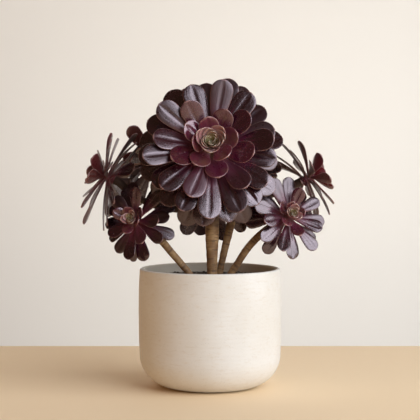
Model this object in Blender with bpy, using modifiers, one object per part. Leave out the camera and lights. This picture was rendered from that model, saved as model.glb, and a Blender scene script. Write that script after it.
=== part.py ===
# A potted black tree aeonium: a stoneware pot, the gritty soil that fills it, four stems that stand
# in the soil, and a rosette of spoon-shaped leaves round a paler heart at the end of each branch.
# Metres, +Z up, with the origin at the centre of the pot's underside and -Y towards the viewer.

import math
import random

import bmesh
import bpy
import numpy as np
from mathutils import Vector
from mathutils.bvhtree import BVHTree

# Pot
POT_RADIUS = 0.070
POT_HEIGHT = 0.116
POT_WALL = 0.0042
POT_FLOOR = 0.008
POT_LIP_RADIUS = 0.0018
POT_MOUTH_DRAW_IN = 0.0012
POT_CORNER_RADIUS = 0.032
# Points down the side: share of the height, and how far the side is drawn in there
POT_SIDE = [(0.86, 0.0003), (0.68, 0.0), (0.44, 0.0002)]
POT_CORNER_FLATTENING = 0.0008
POT_TURN_STEPS = 32
ARC_STEPS = 3

# Soil
SOIL_BELOW_RIM = 0.0095
SOIL_RINGS = 2
SOIL_RELIEF = 0.0012
RELIEF_ROOM = 0.0015
TOUCH_GAP = 0.0003

# Leaves
GOLDEN_ANGLE = math.radians(137.508)
BLADE_STATIONS = (0.0, 0.42, 0.79, 0.95, 1.0)
HEART_STATIONS = (0.0, 0.70, 1.0)
TIP_ROUNDNESS = 0.5
NARROW_UNTIL = 0.10
ROOT_WIDTH_SHARE = 0.27
HEART_ROOT_WIDTH_SHARE = 0.42
CHANNEL_SHARE = 0.10
SIDE_DRAW = 0.10
ROOT_SINK = 0.003
CORE_SIDES = 8
CORE_TAPER = 0.72

# How far a blade stays from the leaves and stems of other nodes, and the ways it may bend clear
CLEARANCE = 0.0011
FREE_FROM = 0.42
BEND_CHOICES = (0, 8, -8, 16, -16, 25, -25, 35, -35, 46, -46, 58, -58)
SWING_CHOICES = (0, 7, -7, 14, -14)
SHORTENINGS = (1.0, 0.85, 0.7)

STEM_SIDES = 8

LEAF_COLOUR = (0.045, 0.014, 0.024)
HEART_COLOUR = (0.20, 0.17, 0.07)
STEM_COLOUR = (0.26, 0.17, 0.10)
POT_COLOUR = (0.80, 0.75, 0.66)
SOIL_COLOUR = (0.20, 0.18, 0.15)

# One entry for each rosette: where its crown stands, which way it faces (azimuth from the viewer
# towards +X, and elevation), how long its leaves are, and how many leaves and heart leaves it has.
# Droop lowers the young leaves under the crown, and sweep turns the old ones back along the stem,
# both in degrees.
ROSETTES = {
    "main": dict(crown=(0.001, -0.0505, 0.2370), azimuth=0, elevation=21, leaf=0.0700,
                 width=0.325, leaves=52, heart=13, depth=0.029, core=0.0078, turn=194, droop=22,
                 sweep=0, seed=3),
    "front_left": dict(crown=(-0.0745, -0.027, 0.1655), azimuth=-24, elevation=19, leaf=0.0378,
                       width=0.35, leaves=25, heart=7, depth=0.017, core=0.0048, turn=95, droop=14,
                       sweep=6, seed=5),
    "front_right": dict(crown=(0.0778, -0.027, 0.1700), azimuth=19, elevation=20, leaf=0.0405,
                        width=0.35, leaves=25, heart=7, depth=0.017, core=0.0048, turn=210, droop=14,
                        sweep=0, seed=8),
    "side_left": dict(crown=(-0.1100, 0.0145, 0.2076), azimuth=-98, elevation=21, leaf=0.0505,
                      width=0.30, leaves=31, heart=7, depth=0.017, core=0.0048, turn=40, droop=3,
                      sweep=20, seed=11),
    "side_right": dict(crown=(0.1051, 0.0225, 0.2072), azimuth=104, elevation=24, leaf=0.0440,
                       width=0.31, leaves=25, heart=7, depth=0.017, core=0.0048, turn=150, droop=3,
                       sweep=8, seed=13),
    "back": dict(crown=(0.004, 0.0510, 0.1930), azimuth=176, elevation=22, leaf=0.049,
                 width=0.33, leaves=25, heart=7, depth=0.020, core=0.0056, turn=60, droop=14,
                 sweep=0, seed=17),
    "back_left": dict(crown=(-0.0580, 0.0420, 0.2240), azimuth=-150, elevation=30, leaf=0.047,
                      width=0.34, leaves=25, heart=7, depth=0.016, core=0.0046, turn=10, droop=8,
                      sweep=0, seed=19),
    "back_right": dict(crown=(0.0460, 0.0480, 0.2085), azimuth=146, elevation=34, leaf=0.0385,
                       width=0.34, leaves=21, heart=7, depth=0.016, core=0.0046, turn=120, droop=8,
                       sweep=0, seed=23),
}

# One entry for each stem: the points and radii of its trunk from the buried foot up, and of each
# branch, which ends in the crown of the rosette that it names.
STEMS = {
    "stem_main": dict(
        trunk=[((0.000, -0.004, 0.055), 0.0042), ((0.0015, -0.006, 0.085), 0.0045),
               ((0.002, -0.0075, 0.107), 0.0050), ((0.002, -0.008, 0.130), 0.0057),
               ((0.002, -0.006, 0.152), 0.0069), ((0.002, -0.003, 0.175), 0.0071),
               ((0.002, -0.0035, 0.196), 0.0072), ((0.002, -0.0125, 0.213), 0.0073)],
        branches=[]),
    "stem_left": dict(
        trunk=[((-0.013, -0.004, 0.062), 0.0030), ((-0.0140, -0.005, 0.085), 0.0030),
               ((-0.0180, -0.007, 0.107), 0.0033), ((-0.0265, -0.009, 0.119), 0.0035),
               ((-0.0375, -0.0105, 0.132), 0.0036), ((-0.0480, -0.0105, 0.1445), 0.0038),
               ((-0.0590, -0.0105, 0.1540), 0.0039)],
        branches=[]),
    "stem_right": dict(
        trunk=[((0.0145, -0.004, 0.062), 0.0031), ((0.0155, -0.005, 0.085), 0.0031),
               ((0.0190, -0.006, 0.107), 0.0035), ((0.0265, -0.008, 0.1205), 0.0036),
               ((0.0365, -0.010, 0.136), 0.0038), ((0.0485, -0.0105, 0.149), 0.0039),
               ((0.0620, -0.0112, 0.1590), 0.0041)],
        branches=[]),
    "stem_back": dict(
        trunk=[((0.006, 0.012, 0.060), 0.0030), ((0.0068, 0.011, 0.085), 0.0031),
               ((0.0092, 0.010, 0.107), 0.0033), ((0.0132, 0.010, 0.128), 0.0036),
               ((0.0185, 0.012, 0.150), 0.0041), ((0.0222, 0.016, 0.166), 0.0046)],
        branches=[
            dict(points=[((0.0222, 0.016, 0.166), 0.0044), ((0.014, 0.021, 0.177), 0.0042)],
                 rosette="back"),
            dict(points=[((0.0222, 0.016, 0.166), 0.0044), ((0.036, 0.015, 0.176), 0.0038),
                         ((0.057, 0.013, 0.186), 0.0036), ((0.073, 0.015, 0.193), 0.0037)],
                 rosette="side_right"),
            dict(points=[((0.036, 0.015, 0.176), 0.0034), ((0.0375, 0.022, 0.187), 0.0034)],
                 rosette="back_right"),
            dict(points=[((0.0222, 0.016, 0.166), 0.0044), ((0.002, 0.015, 0.1725), 0.0040),
                         ((-0.025, 0.016, 0.1725), 0.0038), ((-0.052, 0.0185, 0.176), 0.0036),
                         ((-0.074, 0.0165, 0.186), 0.0036)],
                 rosette="side_left"),
            dict(points=[((-0.025, 0.016, 0.1725), 0.0036), ((-0.036, 0.0175, 0.187), 0.0035),
                         ((-0.045, 0.0215, 0.203), 0.0035)],
                 rosette="back_left"),
        ]),
}
STEM_TIPS = {"stem_main": "main", "stem_left": "front_left", "stem_right": "front_right"}


def clear_scene():
    for obj in list(bpy.data.objects):
        bpy.data.objects.remove(obj, do_unlink=True)


def collection_named(name):
    made = bpy.data.collections.new(name)
    bpy.context.scene.collection.children.link(made)
    return made


def material_of(name, colour, roughness):
    made = bpy.data.materials.new(name)
    made.use_nodes = True
    shader = made.node_tree.nodes["Principled BSDF"]
    shader.inputs["Base Color"].default_value = (*colour, 1)
    shader.inputs["Roughness"].default_value = roughness
    shader.inputs["Metallic"].default_value = 0
    return made


def object_from(bm, name, collection):
    if bm.calc_volume(signed=True) < 0:
        bmesh.ops.reverse_faces(bm, faces=bm.faces)
    mesh = bpy.data.meshes.new(name)
    bm.to_mesh(mesh)
    bm.free()
    made = bpy.data.objects.new(name, mesh)
    collection.objects.link(made)
    return made


def applied(obj):
    # Gives the object the mesh that its modifiers make, and takes the modifiers off.
    graph = bpy.context.evaluated_depsgraph_get()
    mesh = bpy.data.meshes.new_from_object(obj.evaluated_get(graph))
    obj.modifiers.clear()
    obj.data = mesh
    return obj


def smooth(obj, angle=40):
    obj.data.shade_smooth()
    obj.data.set_sharp_from_angle(angle=math.radians(angle))


# Pot and soil: turned profiles, drawn in the plane of X and Z from top to bottom.


def arc(centre, radius, start, end, steps=ARC_STEPS):
    angles = [math.radians(start + (end - start) * i / steps) for i in range(steps + 1)]
    return [(centre[0] + radius * math.cos(a), centre[1] + radius * math.sin(a)) for a in angles]


def inner_wall(gap=0.0):
    # The pot's inside from the mouth down to its axis, drawn in by a gap.
    wall = POT_RADIUS - POT_WALL - gap
    floor = POT_FLOOR + gap
    corner = POT_CORNER_RADIUS - POT_WALL - gap
    return arc((wall - corner, floor + corner), corner, 0, -90) + [(0, floor)]


def turned(name, profile, collection, material):
    bm = bmesh.new()
    points = [bm.verts.new((radius, 0, height)) for radius, height in profile]
    for first, second in zip(points, points[1:]):
        bm.edges.new((first, second))
    mesh = bpy.data.meshes.new(name)
    bm.to_mesh(mesh)
    bm.free()
    made = bpy.data.objects.new(name, mesh)
    collection.objects.link(made)
    mesh.materials.append(material)
    screw = made.modifiers.new("turn", "SCREW")
    screw.axis = "Z"
    screw.steps = screw.render_steps = POT_TURN_STEPS
    screw.use_merge_vertices = True
    screw.merge_threshold = 0.0001
    screw.use_normal_calculate = True
    return made


def make_pot(collection, material):
    mouth = POT_RADIUS - POT_MOUTH_DRAW_IN
    lip = (mouth - POT_LIP_RADIUS, POT_HEIGHT - POT_LIP_RADIUS)
    inner_lip = (mouth - POT_WALL + POT_LIP_RADIUS, POT_HEIGHT - POT_LIP_RADIUS)
    corner = (POT_RADIUS - POT_CORNER_FLATTENING - POT_CORNER_RADIUS, POT_CORNER_RADIUS)
    outside = arc(lip, POT_LIP_RADIUS, 90, 0, 3)
    outside += [(POT_RADIUS - drawn_in, POT_HEIGHT * share) for share, drawn_in in POT_SIDE]
    outside += arc(corner, POT_CORNER_RADIUS, 0, -90, 2 * ARC_STEPS)
    inside = [(inner_lip[0], POT_HEIGHT)] + arc(inner_lip, POT_LIP_RADIUS, 150, 180, 2)
    inside += [(POT_RADIUS - POT_WALL, POT_HEIGHT - SOIL_BELOW_RIM + RELIEF_ROOM)] + inner_wall()
    # Down the outside, across the foot to the axis, and down the inside to the axis again
    profile = list(reversed(inside)) + outside + [(0, 0)]
    pot = turned("pot", profile, collection, material)
    smooth(pot)
    return pot


def relief(x, y):
    # Low swells of the soil's surface, which die out at the wall.
    fade = 1 - (math.hypot(x, y) / POT_RADIUS) ** 4
    waves = math.sin(170 * x + 1.3) * math.cos(150 * y) + 0.6 * math.sin(260 * y - 210 * x)
    return SOIL_RELIEF * fade * waves


def make_soil(collection, material, stems):
    top = POT_HEIGHT - SOIL_BELOW_RIM
    wall = POT_RADIUS - POT_WALL - TOUCH_GAP
    surface = [(wall * i / SOIL_RINGS, top) for i in range(SOIL_RINGS + 1)]
    soil = turned("soil", surface + inner_wall(TOUCH_GAP), collection, material)
    applied(soil)
    for vertex in soil.data.vertices:
        if vertex.co.z > top - TOUCH_GAP and math.hypot(vertex.co.x, vertex.co.y) < wall * 0.99:
            vertex.co.z += relief(vertex.co.x, vertex.co.y)
    for name in STEMS:
        hole = soil.modifiers.new("hole for " + name, "BOOLEAN")
        hole.operation = "DIFFERENCE"
        hole.object = stems[name]
    applied(soil)
    return soil


# Stems: tubes along smooth curves, with the branches grown into the trunk.


def smooth_route(points, steps=2):
    # Points and radii read from one smooth curve through the given ones.
    rows = [np.array([*place, radius]) for place, radius in points]
    rows = [2 * rows[0] - rows[1]] + rows + [2 * rows[-1] - rows[-2]]
    route = []
    for i in range(1, len(rows) - 2):
        before, here, there, after = rows[i - 1:i + 3]
        for step in range(steps):
            t = step / steps
            route.append(0.5 * (2 * here + (there - before) * t
                                + (2 * before - 5 * here + 4 * there - after) * t ** 2
                                + (3 * here - before - 3 * there + after) * t ** 3))
    return route + [rows[-2]]


def tube(name, route, collection, swell=0.0):
    # A curve with a bevel and filled caps, made a mesh.
    curve = bpy.data.curves.new(name, "CURVE")
    curve.dimensions = "3D"
    curve.bevel_depth = 1.0
    curve.bevel_resolution = STEM_SIDES // 2 - 2
    curve.use_fill_caps = True
    line = curve.splines.new("POLY")
    line.points.add(len(route) - 1)
    for point, row in zip(line.points, route):
        point.co = (*row[:3], 1)
        point.radius = row[3] + swell
    guide = bpy.data.objects.new(name + "_guide", curve)
    collection.objects.link(guide)
    graph = bpy.context.evaluated_depsgraph_get()
    mesh = bpy.data.meshes.new_from_object(guide.evaluated_get(graph))
    bpy.data.objects.remove(guide, do_unlink=True)
    bm = bmesh.new()
    bm.from_mesh(mesh)
    bmesh.ops.remove_doubles(bm, verts=bm.verts, dist=0.00005)
    bpy.data.meshes.remove(mesh)
    return object_from(bm, name, collection)


def crown_of(name):
    # A rosette's crown point, its axis and two directions square to it, the first as level as it can be.
    rosette = ROSETTES[name]
    azimuth, elevation = math.radians(rosette["azimuth"]), math.radians(rosette["elevation"])
    axis = Vector((math.sin(azimuth) * math.cos(elevation),
                   -math.cos(azimuth) * math.cos(elevation), math.sin(elevation)))
    level = Vector((math.cos(azimuth), math.sin(azimuth), 0))
    return Vector(rosette["crown"]), axis, level, axis.cross(level)


def seat_of(name):
    # The end of a rosette's stem: two points on the rosette's axis, with the second at the seat.
    crown, axis, _, _ = crown_of(name)
    seat = crown - axis * (ROSETTES[name]["depth"] + TOUCH_GAP)
    radius = ROSETTES[name]["core"] * 0.9
    return [(tuple(seat - axis * radius), radius * 0.95), (tuple(seat), radius)]


def route_to(points, rosette):
    # A smooth route whose last stretch runs straight along the rosette's axis, so its end is square.
    before, (place, radius) = seat_of(rosette)
    return smooth_route(points + [before]) + [np.array([*place, radius])]


def stem_routes(name):
    stem = STEMS[name]
    if name in STEM_TIPS:
        return [route_to(stem["trunk"], STEM_TIPS[name])]
    branches = [route_to(branch["points"], branch["rosette"]) for branch in stem["branches"]]
    return [smooth_route(stem["trunk"])] + branches


def union_of(base, others):
    # Joins the other objects to the base in one Boolean on their collection, and removes them.
    group = bpy.data.collections.new("joined")
    for other in others:
        group.objects.link(other)
    join = base.modifiers.new("join", "BOOLEAN")
    join.operation = "UNION"
    join.operand_type = "COLLECTION"
    join.collection = group
    join.solver = "EXACT"
    applied(base)
    for other in others:
        bpy.data.objects.remove(other, do_unlink=True)
    bpy.data.collections.remove(group)
    fill_pockets(base)
    return base


def fill_pockets(obj):
    # Overlapping blades can close a pocket between them. Its walls are dropped, which leaves it solid.
    bm = bmesh.new()
    bm.from_mesh(obj.data)
    shells, seen = [], set()
    for start in bm.faces:
        if start in seen:
            continue
        shell, edge_of_search = [], [start]
        seen.add(start)
        while edge_of_search:
            face = edge_of_search.pop()
            shell.append(face)
            for edge in face.edges:
                for near in edge.link_faces:
                    if near not in seen:
                        seen.add(near)
                        edge_of_search.append(near)
        shells.append(shell)
    shells.sort(key=len)
    inner = [face for shell in shells[:-1] for face in shell]
    bmesh.ops.delete(bm, geom=inner, context="FACES")
    bm.to_mesh(obj.data)
    bm.free()


def make_stem(name, collection, material, swell=0.0):
    tubes = [tube(f"{name}_{i}" if i else name, route, collection, swell)
             for i, route in enumerate(stem_routes(name))]
    stem = tubes[0]
    if len(tubes) > 1:
        union_of(stem, tubes[1:])
    stem.data.materials.clear()
    stem.data.materials.append(material)
    smooth(stem, 50)
    return stem


def hole_cutter(name, collection):
    # The buried stretch of a stem, a touch gap larger all round, which leaves a plain hole in the soil.
    trunk = stem_routes(name)[0]
    first, second = trunk[0], trunk[1]
    below = first + (first - second) * TOUCH_GAP / np.linalg.norm((first - second)[:3])
    route = [below] + [row for row in trunk if row[2] < POT_HEIGHT + 0.012]
    cutter = tube("hole_" + name, route, collection, TOUCH_GAP)
    cutter.hide_render = True
    cutter.display_type = "WIRE"
    return cutter


# Leaves: each blade follows an arc that leans away from the rosette's axis.


def blend_between(stops, share):
    # A value read from (share, value) stops, joined by straight lines.
    return float(np.interp(share, [s for s, _ in stops], [v for _, v in stops]))


LENGTH_BY_AGE = ((0, 0.36), (0.12, 0.50), (0.22, 0.74), (0.34, 0.94), (0.7, 1.0), (1, 1.05))
LEAN_BY_AGE = ((0, 44), (0.12, 54), (0.22, 64), (0.34, 74), (0.6, 88), (0.8, 98), (1, 113))
CURL_BY_AGE = ((0, -38), (0.15, -20), (0.3, 0), (0.5, 12), (0.7, 18), (1, 26))
WIDTH_BY_AGE = ((0, 0.88), (0.2, 1.0), (0.6, 1.02), (1, 0.96))
HEART_LENGTH = ((0, 0.08), (0.5, 0.17), (1, 0.29))
HEART_LEAN = ((0, 8), (0.5, 28), (1, 42))
HEART_CURL = ((0, -10), (0.5, -34), (1, -42))


def outer_leaves(name):
    # The leaves of a rosette outside its heart, from the youngest to the oldest.
    rosette = ROSETTES[name]
    draw = random.Random(rosette["seed"])
    leaves = []
    for i in range(rosette["leaves"]):
        age = i / (rosette["leaves"] - 1)
        vary = [draw.uniform(-1, 1) for _ in range(6)]
        turn = math.radians(rosette["turn"] + 6 * vary[2]) + (i + rosette["heart"]) * GOLDEN_ANGLE
        downward = max(0.0, -math.sin(turn)) * math.cos(math.radians(rosette["elevation"]))
        lean = blend_between(LEAN_BY_AGE, age) + rosette["sweep"] * age + 5 * vary[0]
        lean += rosette["droop"] * downward * (1 - age)
        curl = math.radians(blend_between(CURL_BY_AGE, age) + 8 * vary[1])
        length = rosette["leaf"] * blend_between(LENGTH_BY_AGE, age) * (1 - SIDE_DRAW * math.cos(turn) ** 2)
        width = rosette["leaf"] * rosette["width"] * blend_between(WIDTH_BY_AGE, age)
        leaves.append(dict(
            rosette=name, age=age, turn=turn, lean=math.radians(lean) - curl / 2, curl=curl,
            length=length * (1 + 0.07 * vary[3]), width=width * (1 + 0.065 * vary[4]),
            thickness=0.0016 + 0.0012 * rosette["leaf"] / ROSETTES["main"]["leaf"],
            root=rosette["core"] * (CORE_TAPER + (1 - CORE_TAPER) * age) - ROOT_SINK,
            height=-0.0028 - (rosette["depth"] - 0.006) * age,
            twist=math.radians(12 * vary[5]), narrow=ROOT_WIDTH_SHARE))
    return leaves


def heart_leaves(name):
    rosette = ROSETTES[name]
    draw = random.Random(rosette["seed"] + 100)
    leaves = []
    for i in range(rosette["heart"]):
        age = i / (rosette["heart"] - 1)
        length = rosette["leaf"] * blend_between(HEART_LENGTH, age)
        lean = math.radians(blend_between(HEART_LEAN, age) + draw.uniform(-2, 2))
        curl = math.radians(blend_between(HEART_CURL, age))
        leaves.append(dict(
            rosette=name, age=age, turn=math.radians(rosette["turn"]) + i * GOLDEN_ANGLE,
            length=length, width=length * 0.92, lean=lean - curl / 2, curl=curl,
            thickness=0.0010 + 0.0008 * age, root=rosette["core"] * (0.10 + 0.22 * age),
            height=rosette["core"] * (0.62 - 0.40 * age), twist=0.0,
            narrow=HEART_ROOT_WIDTH_SHARE))
    return leaves


def width_at(leaf, along):
    # The blade's width as a share of its widest: a narrow foot, a spoon, and a round tip.
    widest = 1 - min(TIP_ROUNDNESS * leaf["width"] / leaf["length"], 0.4)
    rise = np.clip((along - NARROW_UNTIL) / (widest - NARROW_UNTIL), 0, 1)
    spoon = leaf["narrow"] + (1 - leaf["narrow"]) * (rise * rise * (3 - 2 * rise)) ** 1.1
    past = np.clip((along - widest) / (1 - widest), 0, 1)
    return spoon * np.sqrt(np.clip(1 - past ** 2.2, 0, 1))


def blade_points(leaf, across, along, up, swell=0.0):
    # Places on a blade. Across runs from -1 to 1 between its margins, along from 0 at the root to 1 at
    # the tip, and up is 1 on the upper face and -1 on the lower. Swell thickens it all round.
    crown, axis, level, square = crown_of(leaf["rosette"])
    outward = level * math.cos(leaf["turn"]) + square * math.sin(leaf["turn"])
    sideways = axis.cross(outward)
    axis, outward, sideways = (np.array(v) for v in (axis, outward, sideways))
    curl = leaf["curl"] if abs(leaf["curl"]) > 1e-4 else 1e-4
    angle = leaf["lean"] + curl * along
    reach = leaf["root"] + leaf["length"] * (math.cos(leaf["lean"]) - np.cos(angle)) / curl
    rise = leaf["height"] + leaf["length"] * (np.sin(angle) - math.sin(leaf["lean"])) / curl
    spine = np.array(crown) + np.outer(rise, axis) + np.outer(reach, outward)
    face = np.outer(np.sin(angle), axis) - np.outer(np.cos(angle), outward)
    roll = (leaf["twist"] * along)[:, None]
    side = np.cos(roll) * sideways + np.sin(roll) * face
    face = np.cos(roll) * face - np.sin(roll) * sideways
    half = leaf["width"] * width_at(leaf, along) / 2
    thick = leaf["thickness"] / 2 * (1 - 0.35 * along) + swell
    lift = np.abs(across) * 2 * half * CHANNEL_SHARE + up * thick
    return spine + side * (across * (half + swell))[:, None] + face * lift[:, None]


def blade(leaf, stations, swell=0.0):
    # A four-sided bar, cut across at its stations, whose corners are moved to the blade's form.
    bm = bmesh.new()
    bmesh.ops.create_cone(bm, cap_ends=True, segments=4, radius1=1, radius2=1, depth=1)
    for station in stations[1:-1]:
        bmesh.ops.bisect_plane(bm, geom=bm.verts[:] + bm.edges[:] + bm.faces[:],
                               plane_co=(0, 0, station - 0.5), plane_no=(0, 0, 1))
    rows = np.array([vertex.co for vertex in bm.verts])
    places = blade_points(leaf, np.round(rows[:, 0]), rows[:, 2] + 0.5, np.round(rows[:, 1]), swell)
    for vertex, place in zip(bm.verts, places):
        vertex.co = place
    tip = [vertex for vertex, row in zip(bm.verts, rows) if row[2] > 0.4999]
    bmesh.ops.pointmerge(bm, verts=tip, merge_co=sum((v.co for v in tip), Vector()) / len(tip))
    bmesh.ops.triangulate(bm, faces=bm.faces[:], quad_method="BEAUTY", ngon_method="BEAUTY")
    return bm


def tube_tree(rings, sides):
    # A search tree of the triangles between rings of points, for testing what they would cross.
    triangles = []
    for i in range(len(rings) - sides):
        j = i + 1 if (i + 1) % sides else i + 1 - sides
        triangles += [(i, j, i + sides), (j, j + sides, i + sides)]
    return BVHTree.FromPolygons([tuple(place) for place in rings], triangles, all_triangles=True)


def blade_tree(leaf, start=0.0, swell=0.0):
    # A blade past a share of its length.
    along = np.repeat([start + (1 - start) * share for share in BLADE_STATIONS], 4)
    around = np.arange(len(along)) % 4
    across, up = np.array((1, 0, -1, 0))[around], np.array((0, 1, 0, -1))[around]
    return tube_tree(blade_points(leaf, across, along, up, swell), 4)


def route_tree(route):
    # A stem or branch, as rings about its route.
    rings = []
    for i, row in enumerate(route):
        ahead = Vector(route[min(i + 1, len(route) - 1)][:3]) - Vector(route[max(i - 1, 0)][:3])
        first = ahead.cross(Vector((0, 1, 0))).normalized()
        second = ahead.cross(first).normalized()
        for side in range(STEM_SIDES):
            angle = 2 * math.pi * side / STEM_SIDES
            rings.append(Vector(row[:3]) + (first * math.cos(angle) + second * math.sin(angle)) * row[3])
    return tube_tree(rings, STEM_SIDES)


def tip_tree(name):
    # A rosette's leafy tip, which bears its leaves and its heart.
    crown, axis, _, _ = crown_of(name)
    radius = ROSETTES[name]["core"]
    foot, top = crown - axis * ROSETTES[name]["depth"], crown + axis * radius
    ends = ((foot, radius), (top, radius * CORE_TAPER))
    return route_tree([np.array([*place, wide]) for place, wide in ends])


def bent_clear(leaf, others, own):
    # The leaf, bent, swung or shortened by the least that keeps it clear of other nodes and of its
    # neighbours' blades, or None where nothing does.
    for shorten in SHORTENINGS:
        for swing in SWING_CHOICES:
            for bend in BEND_CHOICES:
                tried = dict(leaf, length=leaf["length"] * shorten,
                             turn=leaf["turn"] + math.radians(swing),
                             lean=leaf["lean"] + math.radians(bend) * 0.35,
                             curl=leaf["curl"] + math.radians(bend) * 0.65)
                whole = blade_tree(tried, swell=CLEARANCE)
                if any(whole.overlap(other) for other in others):
                    continue
                free = blade_tree(tried, FREE_FROM)
                if not any(free.overlap(other) for other in own):
                    return tried
    return None


def settle_leaves():
    # Every rosette's leaves, each bent clear of the stems and of the rosettes settled before it.
    settled = []
    done = [route_tree(route) for name in STEMS for route in stem_routes(name)]
    tips = {name: tip_tree(name) for name in ROSETTES}
    for name in ROSETTES:
        tips.pop(name)
        hearts = heart_leaves(name)
        heart_trees = [blade_tree(leaf) for leaf in hearts]
        kept, own = [], []
        for leaf in outer_leaves(name):
            clear = bent_clear(leaf, done + heart_trees + list(tips.values()), own)
            if clear:
                kept.append(clear)
                own.append(blade_tree(clear, FREE_FROM))
        done += [blade_tree(leaf) for leaf in kept] + heart_trees
        settled.append((name, kept, hearts))
        print(name, len(kept), "of", ROSETTES[name]["leaves"], "leaves")
    return settled


def core(rosette, name, low, high, wide, narrow, collection):
    # The leafy tip of the stem, between two heights on the rosette's axis.
    crown, axis, _, _ = crown_of(rosette)
    bm = bmesh.new()
    bmesh.ops.create_cone(bm, cap_ends=True, segments=CORE_SIDES, radius1=wide, radius2=narrow,
                          depth=high - low)
    turn = axis.to_track_quat("Z", "Y").to_matrix()
    for vertex in bm.verts:
        vertex.co = crown + axis * ((high + low) / 2) + turn @ vertex.co
    return object_from(bm, name, collection)


def grow(rosette, name, core_shape, blades, stations, collection, material):
    # One node: the blades of a head, or of its heart, grown into the piece of core that bears them.
    base = core(rosette, name, *core_shape, collection)
    union_of(base, [object_from(blade(leaf, stations), f"{name}_leaf", collection) for leaf in blades])
    base.data.materials.clear()
    base.data.materials.append(material)
    smooth(base, 35)


def make_rosette(name, leaves, hearts, collection, leaf_material, heart_material):
    radius, depth = ROSETTES[name]["core"], ROSETTES[name]["depth"]
    leaf_core = (-depth, 0.0, radius, radius * CORE_TAPER)
    heart_core = (TOUCH_GAP, radius, radius * 0.45, radius * 0.25)
    grow(name, "rosette_" + name, leaf_core, leaves, BLADE_STATIONS, collection, leaf_material)
    grow(name, "heart_" + name, heart_core, hearts, HEART_STATIONS, collection, heart_material)


def main():
    clear_scene()
    parts = collection_named("potted_aeonium")
    cutters = collection_named("cutters")
    leaf_material = material_of("leaf", LEAF_COLOUR, 0.35)
    heart_material = material_of("heart", HEART_COLOUR, 0.4)
    stem_material = material_of("stem", STEM_COLOUR, 0.75)
    pot_material = material_of("pot", POT_COLOUR, 0.6)
    soil_material = material_of("soil", SOIL_COLOUR, 0.95)

    make_pot(parts, pot_material)
    stems = {name: make_stem(name, parts, stem_material) for name in STEMS}
    holes = {name: hole_cutter(name, cutters) for name in STEMS}
    make_soil(parts, soil_material, holes)
    for name, leaves, hearts in settle_leaves():
        make_rosette(name, leaves, hearts, parts, leaf_material, heart_material)


main()
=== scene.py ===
# Potted black tree aeonium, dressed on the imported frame: fine leaves, hearts, ringed stems, a speckled
# pot and gritty soil. Everything is in metres, and the viewer is at -Y.
import math
import random

import bpy
import numpy as np
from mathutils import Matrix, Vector
from mathutils.bvhtree import BVHTree


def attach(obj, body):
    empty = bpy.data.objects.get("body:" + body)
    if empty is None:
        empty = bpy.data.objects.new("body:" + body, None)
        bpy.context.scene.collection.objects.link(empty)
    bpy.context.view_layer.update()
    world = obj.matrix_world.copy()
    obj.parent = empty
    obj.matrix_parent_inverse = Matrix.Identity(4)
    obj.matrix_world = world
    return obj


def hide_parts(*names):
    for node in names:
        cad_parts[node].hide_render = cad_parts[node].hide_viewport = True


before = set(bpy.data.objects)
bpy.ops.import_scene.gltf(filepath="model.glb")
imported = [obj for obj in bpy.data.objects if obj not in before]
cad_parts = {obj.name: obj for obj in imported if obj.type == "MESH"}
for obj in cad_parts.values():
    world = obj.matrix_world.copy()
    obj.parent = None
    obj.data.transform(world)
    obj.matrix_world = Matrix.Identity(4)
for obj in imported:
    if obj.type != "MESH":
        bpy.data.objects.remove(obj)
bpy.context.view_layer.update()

goldenAngle = math.radians(137.508)
touchGap = 0.0003

# where each crown stands, which way it faces, and how its leaves grow: the same plan as the solids
heads = {
    "main": dict(crown=(0.001, -0.0505, 0.2370), azimuth=0, elevation=21, leaf=0.0700,
                 width=0.325, leaves=52, heart=13, depth=0.029, core=0.0078, turn=194, droop=22,
                 sweep=0, seed=3),
    "front_left": dict(crown=(-0.0745, -0.027, 0.1655), azimuth=-24, elevation=19, leaf=0.0378,
                       width=0.35, leaves=25, heart=7, depth=0.017, core=0.0048, turn=95, droop=14,
                       sweep=6, seed=5),
    "front_right": dict(crown=(0.0778, -0.027, 0.1700), azimuth=19, elevation=20, leaf=0.0405,
                        width=0.35, leaves=25, heart=7, depth=0.017, core=0.0048, turn=210, droop=14,
                        sweep=0, seed=8),
    "side_left": dict(crown=(-0.1100, 0.0145, 0.2076), azimuth=-98, elevation=21, leaf=0.0505,
                      width=0.30, leaves=31, heart=7, depth=0.017, core=0.0048, turn=40, droop=3,
                      sweep=20, seed=11),
    "side_right": dict(crown=(0.1051, 0.0225, 0.2072), azimuth=104, elevation=24, leaf=0.0440,
                       width=0.31, leaves=25, heart=7, depth=0.017, core=0.0048, turn=150, droop=3,
                       sweep=8, seed=13),
    "back": dict(crown=(0.004, 0.0510, 0.1930), azimuth=176, elevation=22, leaf=0.049,
                 width=0.33, leaves=25, heart=7, depth=0.020, core=0.0056, turn=60, droop=14,
                 sweep=0, seed=17),
    "back_left": dict(crown=(-0.0580, 0.0420, 0.2240), azimuth=-150, elevation=30, leaf=0.047,
                      width=0.34, leaves=25, heart=7, depth=0.016, core=0.0046, turn=10, droop=8,
                      sweep=0, seed=19),
    "back_right": dict(crown=(0.0460, 0.0480, 0.2085), azimuth=146, elevation=34, leaf=0.0385,
                       width=0.34, leaves=21, heart=7, depth=0.016, core=0.0046, turn=120, droop=8,
                       sweep=0, seed=23),
}

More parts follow.
